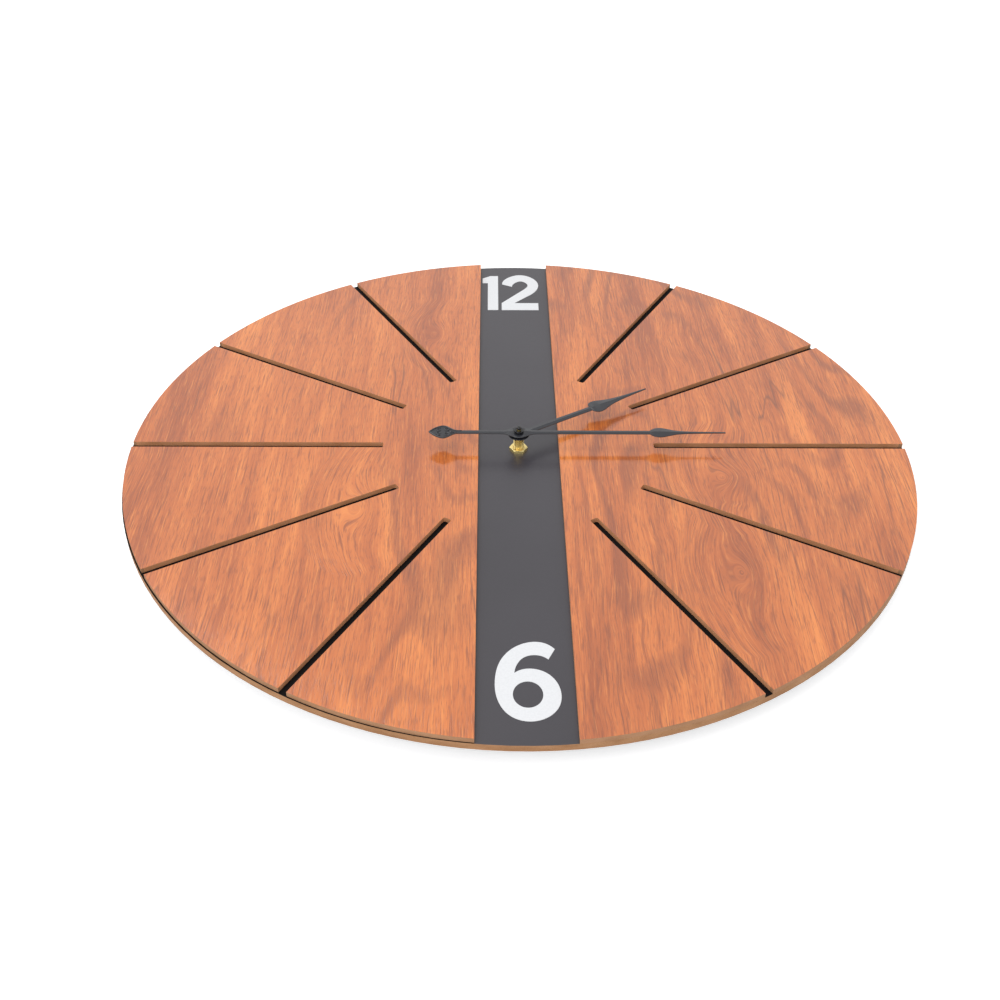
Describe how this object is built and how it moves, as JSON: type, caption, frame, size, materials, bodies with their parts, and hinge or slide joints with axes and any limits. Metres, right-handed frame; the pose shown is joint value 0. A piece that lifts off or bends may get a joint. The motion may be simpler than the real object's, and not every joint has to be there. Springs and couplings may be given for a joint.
{
  "type": "quartz wall clock",
  "caption": "Round quartz wall clock: black disc with a bare centre strip, two wood panels with radial hour slots, white 12 and 6, black spade hands, movement with hanger.",
  "frame": {"origin": "on the arbor axis, in the plane that the back of the movement rests on when the clock lies on its back", "axes": "+Z out of the dial towards the viewer, +Y towards 12 o'clock, +X towards 3 o'clock"},
  "size_m": [0.5999, 0.6, 0.0438],
  "materials": {
    "black_board": "satin black painted MDF with bare tan edge",
    "wood_laminate": "reddish wood-grain laminate on MDF, semi-gloss",
    "white_vinyl": "flat white film",
    "black_hand": "satin black painted steel",
    "brass": "polished",
    "black_plastic": "fine matt moulded",
    "white_plastic": "moulded acetal",
    "green_board": "solder-masked circuit board",
    "steel": "zinc plated",
    "iron_lamination": "annealed soft iron",
    "copper_winding": "enamelled copper wire",
    "magnet": "ground ferrite",
    "rubber": "matt",
    "nickel": "nickel plate",
    "cell_jacket": "printed jacket, no marks"
  },
  "bodies": {
    "clock_body": {"back_board": "black_board", "left_panel": "wood_laminate", "right_panel": "wood_laminate", "numeral_12": "white_vinyl", "numeral_6": "white_vinyl", "rubber_gasket": "rubber", "hex_nut": "brass", "threaded_bushing": "brass", "movement_case": "black_plastic", "movement_cover": "black_plastic", "train_plate": "white_plastic", "hanger_strap": "steel", "stator": "iron_lamination", "coil_core": "iron_lamination", "coil_bobbin": "white_plastic", "coil_winding": "copper_winding", "circuit_board": "green_board", "chip_blob": "black_plastic", "quartz_crystal": "nickel", "positive_contact": "nickel", "negative_contact": "nickel"},
    "minute": {"minute_arbor": "brass", "minute_hand": "black_hand", "minute_hand_collet": "black_hand", "hand_nut": "black_hand"},
    "hour": {"hour_wheel": "white_plastic", "hour_hand_collet": "black_hand", "hour_hand": "black_hand"},
    "motion": {"motion_wheel": "white_plastic"},
    "knob": {"setting_knob": "white_plastic"},
    "centre": {"centre_wheel": "white_plastic"},
    "third": {"third_wheel": "white_plastic"},
    "seconds": {"seconds_wheel": "steel", "arbor_cap": "black_plastic"},
    "intermediate": {"intermediate_wheel": "white_plastic"},
    "rotor": {"rotor_pinion": "white_plastic", "rotor_magnet": "magnet"},
    "cell": {"battery": "cell_jacket"}
  },
  "joints": [
    {"name": "minute_turn", "type": "hinge", "parent": "clock_body", "child": "minute", "pos_m": [0, 0, 0.008], "axis": [0, 0, -1], "continuous": true},
    {"name": "hour_turn", "type": "hinge", "parent": "clock_body", "child": "hour", "pos_m": [0, 0, 0.008], "axis": [0, 0, -1], "continuous": true},
    {"name": "motion_turn", "type": "hinge", "parent": "clock_body", "child": "motion", "pos_m": [0.00727, 0.0042, 0.008], "axis": [0, 0, -1], "continuous": true},
    {"name": "knob_turn", "type": "hinge", "parent": "clock_body", "child": "knob", "pos_m": [0.01457, 0.0008, 0.008], "axis": [0, 0, -1], "continuous": true},
    {"name": "seconds_turn", "type": "hinge", "parent": "clock_body", "child": "seconds", "pos_m": [0, 0, 0.008], "axis": [0, 0, -1], "continuous": true},
    {"name": "centre_turn", "type": "hinge", "parent": "clock_body", "child": "centre", "pos_m": [0, 0, 0.008], "axis": [0, 0, -1], "continuous": true},
    {"name": "third_turn", "type": "hinge", "parent": "clock_body", "child": "third", "pos_m": [-0.00918, 0, 0.008], "axis": [0, 0, -1], "continuous": true},
    {"name": "intermediate_turn", "type": "hinge", "parent": "clock_body", "child": "intermediate", "pos_m": [0, 0.0084, 0.008], "axis": [0, 0, -1], "continuous": true},
    {"name": "rotor_turn", "type": "hinge", "parent": "clock_body", "child": "rotor", "pos_m": [0, 0.0144, 0.008], "axis": [0, 0, -1], "continuous": true},
    {"name": "battery_slide", "type": "slide", "parent": "clock_body", "child": "cell", "axis": [0, 0, -1], "range_m": [0, 0.018]}
  ],
  "couplings": [
    {"joint": "hour_turn", "follows": "minute_turn", "ratio": 0.083333},
    {"joint": "motion_turn", "follows": "minute_turn", "ratio": -0.33333},
    {"joint": "knob_turn", "follows": "minute_turn", "ratio": 1.2},
    {"joint": "centre_turn", "follows": "seconds_turn", "ratio": 0.016667},
    {"joint": "third_turn", "follows": "seconds_turn", "ratio": -0.13333},
    {"joint": "intermediate_turn", "follows": "seconds_turn", "ratio": -6},
    {"joint": "rotor_turn", "follows": "seconds_turn", "ratio": 30}
  ]
}
